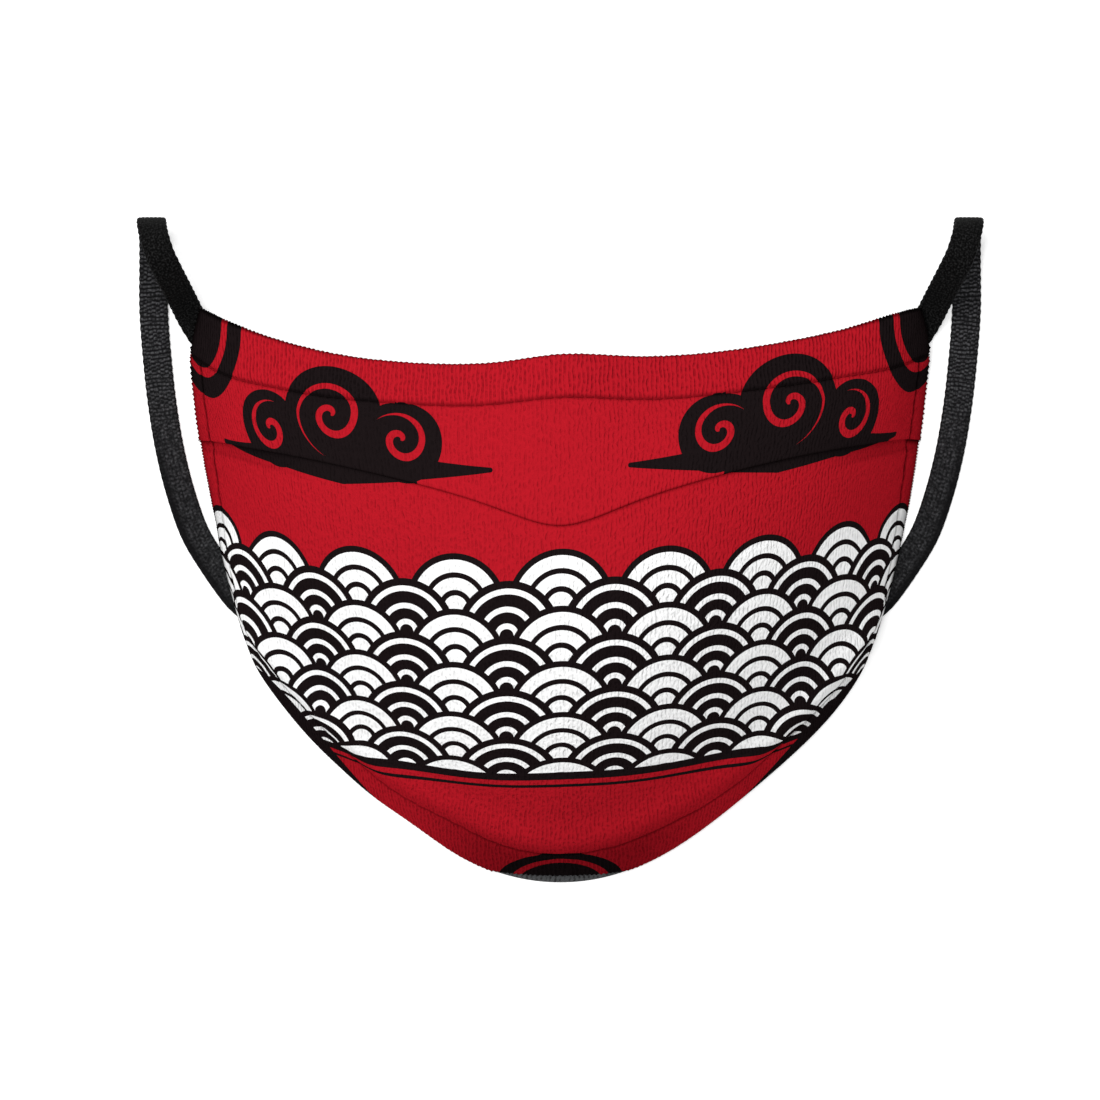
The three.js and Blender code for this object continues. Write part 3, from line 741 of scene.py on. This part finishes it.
def waves(tree):
    """1 where the wave print is white, and 1 where it covers the ground colour."""
    place = add(tree, "UVMap", uv_map="cloth")
    place = add(tree, "VectorMath", [place, (0, WAVE_TOP, 0)], "SUBTRACT")
    place = add(tree, "VectorMath", {0: place, "Scale": 1 / WAVE_RADIUS}, "SCALE")
    x, y, _ = add(tree, "SeparateXYZ", [place], out=None).outputs
    row = add(tree, "Math", [y, 2.0], "MULTIPLY")
    row = add(tree, "Math", [row], "FLOOR")
    nearest, covered, black_row = FAR_OFF, 0.0, 0.0
    for below in (0, 1, 2):
        this_row = add(tree, "Math", [row, float(below)], "ADD")
        up = add(tree, "Math", [this_row, -0.5, y], "MULTIPLY_ADD")
        odd = add(tree, "Math", [this_row, 2.0], "FLOORED_MODULO")
        along = add(tree, "Math", [x, odd], "ADD")
        along = add(tree, "Math", [along, -1.0, 1.0], "WRAP")
        reach = add(tree, "CombineXYZ", [along, up])
        reach = add(tree, "VectorMath", [reach], "LENGTH", out="Value")
        inside = add(tree, "Math", [reach, 1.0], "LESS_THAN")
        real = add(tree, "Math", [this_row, -0.5], "GREATER_THAN")
        inside = add(tree, "Math", [inside, real], "MULTIPLY")
        nearest = add(tree, "Mix", {0: inside, 2: nearest, 3: reach}, data_type="FLOAT")
        black_row = add(tree, "Mix", {0: inside, 2: black_row, 3: odd}, data_type="FLOAT")
        covered = add(tree, "Math", [covered, inside], "MAXIMUM")
    foot = (WAVE_FOOT - WAVE_TOP) / WAVE_RADIUS
    above_foot = add(tree, "Math", [y, foot], "LESS_THAN")
    covered = add(tree, "Math", [covered, above_foot], "MULTIPLY")
    white = add(tree, "Mix", {0: black_row, 6: rings(tree, nearest, WHITE_DISC),
                              7: rings(tree, nearest, BLACK_DISC)}, data_type="RGBA", out=2)
    return white, covered


def away(tree, x, y, centre):
    """Steps across and down from a point of the print, and the distance from it."""
    dx = add(tree, "Math", [x, centre[0]], "SUBTRACT")
    dy = add(tree, "Math", [y, centre[1]], "SUBTRACT")
    step = add(tree, "CombineXYZ", [dx, dy])
    return dx, dy, add(tree, "VectorMath", [step], "LENGTH", out="Value")


def disc(tree, ink, reach, radius):
    """The ink, with a disc of it out to a radius."""
    inside = add(tree, "Math", [reach, radius], "LESS_THAN")
    return add(tree, "Math", [ink, inside], "MAXIMUM")


def line_of(tree, ink, reach, middle, half_width):
    """The ink, with a line of it where reach is near the middle."""
    on_line = add(tree, "Math", [reach, middle, half_width], "COMPARE")
    return add(tree, "Math", [ink, on_line], "MAXIMUM")


# The clouds at the cheeks: three discs, each with a red spiral line, over a level streak that tapers to
# both ends
PUFFS = [  # middle across and down, radius, the spiral's radius, its pitch and the way it turns
    ((0.0475, 0.0146), 0.0114, 0.0092, 0.0054, 1),
    ((0.0637, 0.0192), 0.0080, 0.0060, 0.0046, -1),
    ((0.0322, 0.0188), 0.0086, 0.0064, 0.0046, 1),
]
SPIRAL_HALF_WIDTH = 0.0008
STREAKS = [  # the thick end, the thin end, and half the thickness at each
    ((0.0470, 0.0246), (0.0140, 0.0246), 0.0040, 0.0005),
    ((0.0470, 0.0246), (0.0810, 0.0246), 0.0040, 0.0005),
]
# Discs with a red ring, cut off by the top corners and by the hem at the chin: middle, radius, ring's radius
RINGED = [((0.087, 0.0), 0.017, 0.0122), ((0.0, 0.1285), 0.0135, 0.0096)]
RING_HALF_WIDTH = 0.0009
SPIRAL_TAPER = 0.7           # the spiral line thins out from this share of its radius


def black_ink(tree):
    """1 where the print's clouds, discs and lines are black."""
    place = add(tree, "UVMap", uv_map="cloth")
    x, y, _ = add(tree, "SeparateXYZ", [place], out=None).outputs
    x = add(tree, "Math", [x], "ABSOLUTE")
    black, red = 0.0, 0.0
    for centre, radius, spiral_radius, pitch, way in PUFFS:
        dx, dy, reach = away(tree, x, y, centre)
        black = disc(tree, black, reach, radius)
        dx = add(tree, "Math", [dx, float(way)], "MULTIPLY")
        turn = add(tree, "Math", [dy, dx], "ARCTAN2")
        turn = add(tree, "Math", [turn, -0.5 / math.pi], "MULTIPLY")
        turn = add(tree, "Math", [reach, 1 / pitch, turn], "MULTIPLY_ADD")
        turn = add(tree, "Math", [turn], "FRACT")
        width = add(tree, "MapRange", [reach, spiral_radius * SPIRAL_TAPER, spiral_radius,
                                       SPIRAL_HALF_WIDTH / pitch, 0.0])
        on_line = add(tree, "Math", [turn, 0.5, width], "COMPARE")
        within = add(tree, "Math", [reach, spiral_radius], "LESS_THAN")
        on_line = add(tree, "Math", [on_line, within], "MULTIPLY")
        red = add(tree, "Math", [red, on_line], "MAXIMUM")
    for (x0, y0), (x1, _), thick, thin in STREAKS:
        share = add(tree, "MapRange", [x, x0, x1])
        middle = add(tree, "MapRange", {0: share, 3: x0, 4: x1})
        thickness = add(tree, "MapRange", {0: share, 3: thick, 4: thin})
        _, _, reach = away(tree, x, y, (middle, y0))
        black = disc(tree, black, reach, thickness)
    for centre, radius, ring in RINGED:
        _, _, reach = away(tree, x, y, centre)
        black = disc(tree, black, reach, radius)
        red = line_of(tree, red, reach, ring, RING_HALF_WIDTH)
    black = add(tree, "Math", [black, red], "SUBTRACT", use_clamp=True)
    for top, bottom in FOOT_LINES:
        black = line_of(tree, black, y, (top + bottom) / 2, (bottom - top) / 2)
    border = add(tree, "Attribute", attribute_name="jaw_ink", out="Fac")
    border = add(tree, "Math", [border, 0.0], "LESS_THAN")
    return add(tree, "Math", [black, border], "MAXIMUM")


INKS = {"red": linear("#a51621"), "black": linear("#181213"), "white": linear("#f2f2f2")}


def print_colour(tree):
    """The whole print: red ground, white and black waves, black clouds."""
    white, cover = waves(tree)
    wave = add(tree, "Mix", {0: white, 6: INKS["black"], 7: INKS["white"]}, data_type="RGBA", out=2)
    ground = add(tree, "Mix", {0: cover, 6: INKS["red"], 7: wave}, data_type="RGBA", out=2)
    black = black_ink(tree)
    return add(tree, "Mix", {0: black, 6: ground, 7: INKS["black"]}, data_type="RGBA", out=2)


def darkened(tree, shade, marks):
    """The shade, less a share of each of the cloth's marks of painted shade."""
    for mark, share in marks.items():
        mark = add(tree, "Attribute", attribute_name=mark, out="Fac")
        mark = add(tree, "Math", [mark, -share, 1.0], "MULTIPLY_ADD")
        shade = add(tree, "Math", [shade, mark], "MULTIPLY")
    return shade


# Dye-printed polyester jersey: matte, without gloss, its gaps darker than its loops, pale where it isn't
# printed. Its ribs are 0.9 mm apart. Painted shade darkens it in the stitch grooves, round the fold, along
# the rim and at the chin hem.
printed, tree = new_material("printed_polyester_knit")
firm = add(tree, "Attribute", attribute_name="firm", out="Fac")
height = knit(tree, wale=0.00088, firm=firm, stray=0.0013)
colour = print_colour(tree)
unprinted = add(tree, "Attribute", attribute_name="back", out="Fac")
colour = add(tree, "Mix", {0: unprinted, 6: colour, 7: linear("#b9b4b4")}, data_type="RGBA", out=2)
# Darker hollows where firm is high: in the hems, and as painted shade towards the chin
in_hollow = add(tree, "MapRange", {0: firm, 3: 0.93, 4: 0.74})
shade = add(tree, "MapRange", {0: height, 3: in_hollow, 4: 1.03})
# Painted shade at the seams, under the fold, along the rim and at the chin
shade = darkened(tree, shade, {"seam": 0.65, "rim": 0.75, "painted_chin_shade": 0.42})
colour = add(tree, "VectorMath", {0: colour, "Scale": shade}, "SCALE")
textile(tree, colour, height, bump=0.00022, strength=1.0, roughness=0.85, specular=0.0)

outer = make_piece("outer_cloth_sewn", points, faces, printed, layers, cloth_uv, bake)
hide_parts("outer_cloth")

# Hem stitches
# Polyester thread in a lockstitch all round, each stitch pulled into its own groove in the knit. It is sewn
# in before the print goes on, so it takes the print's colours.
STITCH = {"length": 0.0019, "gap": 0.0001, "radius": 0.00020, "dip": 0.00018, "stand": 0.4}
STITCH_RINGS = 9
STITCH_SIDES = 8
BLUNT_END = 0.2              # share of the radius that is left at a stitch's ends
STITCH_APART = 0.0002        # places on the seam's line closer than this count as one


def stitch_row(line, out, marks, length, gap, radius, dip, stand):
    """Short threads along a line on the cloth, each dipping into it at both ends: points, faces, and the
    line's marks at each point."""
    run = running(line)
    count = int(run[-1] / (length + gap))
    share = np.linspace(0, 1, STITCH_RINGS)
    at = (np.arange(count) + 0.5)[:, None] * run[-1] / count + (share - 0.5) * length
    place, up, marked = (np.stack([np.interp(at, run, row) for row in table.T], -1)
                         for table in (line, out, marks))
    up = unit(up)
    aside = unit(np.cross(np.gradient(place, axis=1), up))
    thick = radius * np.sqrt(np.maximum(BLUNT_END ** 2, 1 - np.abs(2 * share - 1) ** 5))
    lift = radius * stand - dip * np.abs(2 * share - 1) ** 4
    turn = np.arange(STITCH_SIDES) * 2 * math.pi / STITCH_SIDES
    middle = place + up * lift[:, None]
    around = aside[:, :, None] * np.cos(turn)[:, None] + up[:, :, None] * np.sin(turn)[:, None]
    points = middle[:, :, None] + around * thick[:, None, None]
    ring = np.arange(STITCH_SIDES)
    base = (np.arange(count) * STITCH_RINGS * STITCH_SIDES)[:, None, None]
    a = base + (np.arange(STITCH_RINGS - 1) * STITCH_SIDES)[:, None] + ring
    b = base + (np.arange(STITCH_RINGS - 1) * STITCH_SIDES)[:, None] + np.roll(ring, -1)
    faces = np.stack([a, b, b + STITCH_SIDES, a + STITCH_SIDES], -1).reshape(-1, 4).tolist()
    faces += (base[:, 0] + ring[::-1]).tolist()
    faces += (base[:, 0] + (STITCH_RINGS - 1) * STITCH_SIDES + ring).tolist()
    return points.reshape(-1, 3), faces, np.repeat(marked.reshape(-1, marks.shape[1]), STITCH_SIDES, axis=0)


def crossing(off, at):
    """The surface where off turns positive along a row or column that starts at the edge, if it does."""
    i = int(np.argmax(off > 0))
    if i == 0:
        return None
    share = -off[i - 1] / (off[i] - off[i - 1])
    return lerp(at[i - 1], at[i], share)


def seam_line():
    """The line that runs down one side, round the corner of the jaw, along the hem and up the other side."""
    halves = []
    for half in (slice(0, middle + 1), slice(len(columns) - 1, middle - 1, -1)):
        found = []
        for r in np.flatnonzero(~hidden[:, 0]):
            if off_top[r, half][0] > 0:
                hit = crossing(off_low[r, half], surface[r, half])
                found += [] if hit is None else [hit]
        low_rows = np.flatnonzero(on_lower[:, 0])[::-1]
        for c in range(len(columns))[half]:
            hit = crossing(off_low[low_rows, c], surface[low_rows, c])
            found += [] if hit is None else [hit]
        found = np.array(found)
        found = found[np.argsort(found[:, 1] + np.abs(found[:, 0]))[::-1]]
        apart = np.linalg.norm(np.diff(found[:, :3], axis=0), axis=1) > STITCH_APART
        halves.append(found[np.concatenate([[True], apart])])
    return np.concatenate([halves[0], halves[1][::-1]])


top_rows = [i for i, row in enumerate(rows) if row[0] == "top"]
top_line = np.array([crossing(off_top[top_rows, c], surface[top_rows, c]) for c in range(len(columns))])
(top_points, faces, top_marks), (low_points, low_faces, low_marks) = (
    stitch_row(line[:, :3], line[:, 3:6], line[:, 6:], **STITCH) for line in (top_line, seam_line()))
faces += [[i + len(top_points) for i in ids] for ids in low_faces]
points, marks = np.concatenate([top_points, low_points]), np.concatenate([top_marks, low_marks])

# Polyester sewing thread: printed with the cloth and darkened by painted shade from its groove, matte, with
# fibres 0.2 mm apart
sewing_thread, tree = new_material("polyester_sewing_thread")
place = add(tree, "TexCoord", out="Object")
fibres = add(tree, "TexNoise", {"Vector": place, "Scale": 5000.0, "Detail": 2.0}, out="Fac")
shade = add(tree, "MapRange", {0: fibres, 3: 0.8, 4: 1.1})
# Painted shade from the groove and at the chin
shade = darkened(tree, shade, {"seam": 0.78, "painted_chin_shade": 0.42})
colour = add(tree, "VectorMath", {0: print_colour(tree), "Scale": shade}, "SCALE")
textile(tree, colour, fibres, bump=0.00004, strength=0.6, roughness=0.7, specular=0.0)

stitches = make_piece("hem_stitches", points, faces, sewing_thread,
                      {"jaw_ink": marks[:, 2], "painted_chin_shade": marks[:, 3], "seam": marks[:, 4]}, marks[:, :2])

# Lining
# Charcoal polyester knit behind the outer cloth, sewn into its hems. Its turned edge shows below the hem at
# the chin.
LINING_DEPTH = 0.00145       # of its face, behind the outer cloth's
LINING = 0.0005
LINING_MARGIN = 0.018        # share of the half-width, and of the height, by which it is smaller
LINING_STEP = 0.0013
LINING_HALF_WIDTH, LINING_HALF_HEIGHT = 0.097, 0.060  # along the cloth, to count the rows and columns
PEEP_STEPS = 8
PEEP_DEPTH = 0.0002
PEEP_SHARE = 0.022           # of the cloth's height, over which the lining comes forward
PEEP_SIDES = (0.95, 1.3)     # shares of the peep's half-width between which it ends
PEEP_END = 0.9995            # share of the cloth's height that it reaches there

lining_s = np.linspace(LINING_MARGIN - 1, 1 - LINING_MARGIN, 2 * int(LINING_HALF_WIDTH / LINING_STEP) + 1)
lining_v = np.linspace(0, 1, 2 * int(LINING_HALF_HEIGHT / LINING_STEP) + 1 - PEEP_STEPS)
lining_v = np.concatenate([lining_v, 1 + np.linspace(0, 1, PEEP_STEPS + 1)[1:]])
lining_s, lining_v = np.meshgrid(lining_s, lining_v)
shown = 1 - smoothstep(np.abs(face(lining_s, 1)[..., 0]) / CHIN_PEEP["half_width"], *PEEP_SIDES)
past = np.maximum(0, lining_v - 1)
hem_v = 1 - LINING_MARGIN - PEEP_SHARE
lining_v = LINING_MARGIN / 2 + (hem_v - LINING_MARGIN / 2) * np.minimum(1, lining_v)
lining_v += past * (lerp(1 - LINING_MARGIN, PEEP_END, shown) - hem_v)
lining_ground = face(lining_s, lining_v)
lining_normal, _ = directions(lining_s, lining_v)
lining_across, lining_down = running(lining_ground, axis=1), running(lining_ground)
lining_across -= lining_across[:, [lining_s.shape[1] // 2]]
lining_depth = lerp(LINING_DEPTH, PEEP_DEPTH, smoothstep(past, 0, 0.7) * shown)[..., None]
lining_front = lining_ground - lining_normal * lining_depth
lining_back = lining_ground - lining_normal * (lining_depth + LINING)
points, faces, layers, _ = close_sheet(lining_front[:, ::-1], lining_back[:, ::-1], LINING / 5, {
    "u": lining_across[:, ::-1], "d": lining_down[:, ::-1]})
faces = [face_ids[::-1] for face_ids in faces]
lining_uv = np.stack([layers.pop("u"), layers.pop("d")], -1)

# Charcoal polyester jersey: matte, dark in its hollows and lighter on its loops. Its ribs are 1 mm apart.
charcoal, tree = new_material("charcoal_lining_knit")
height = knit(tree, wale=0.00100, firm=0.6, stray=0.0005)
colour = add(tree, "Mix", {0: height, 6: linear("#131314"), 7: linear("#4b4c4e")}, data_type="RGBA", out=2)
textile(tree, colour, height, bump=0.00012, strength=0.8, roughness=0.9, specular=0.2)

lining = make_piece("lining_sewn", points, faces, charcoal, layers, lining_uv)
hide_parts("lining")

# Floor and lights
# A pale table, one wide soft light from above the nose edge, and an even white sky.
FLOOR_HALF = 5.0
TABLE_GLOW = 0.30            # lifts the table to white, as a lit sweep is
floor = bpy.data.objects.new("floor", bpy.data.meshes.new("floor"))
corners = [(x * FLOOR_HALF, y * FLOOR_HALF, 0) for x, y in ((-1, -1), (1, -1), (1, 1), (-1, 1))]
floor.data.from_pydata(corners, [], [(0, 1, 2, 3)])
pale, tree = new_material("pale_table")
shader = add(tree, "BsdfPrincipled", {
    "Base Color": linear("#f2f2f2"), "Roughness": 0.9, "Specular IOR Level": 0.1,
    "Emission Color": (1, 1, 1, 1), "Emission Strength": TABLE_GLOW})
add(tree, "OutputMaterial", {"Surface": shader}, out=None)
floor.data.materials.append(pale)
bpy.context.scene.collection.objects.link(floor)

KEY_DISTANCE = 1.3
key_aim = Vector((0, 0, 0.02))
key_way = Vector((-0.22, 0.24, 1.0)).normalized()  # from the mask to the light
key = bpy.data.objects.new("key_light", bpy.data.lights.new("key_light", "AREA"))
key.data.size = 1.3
key.data.energy = 26.0
key.location = key_aim + key_way * KEY_DISTANCE
key.rotation_euler = key_way.to_track_quat("Z", "Y").to_euler()
bpy.context.scene.collection.objects.link(key)

sky = bpy.data.worlds.new("sky")
sky.use_nodes = True
sky.node_tree.nodes["Background"].inputs[0].default_value = (1, 1, 1, 1)
sky.node_tree.nodes["Background"].inputs[1].default_value = 0.20
bpy.context.scene.world = sky
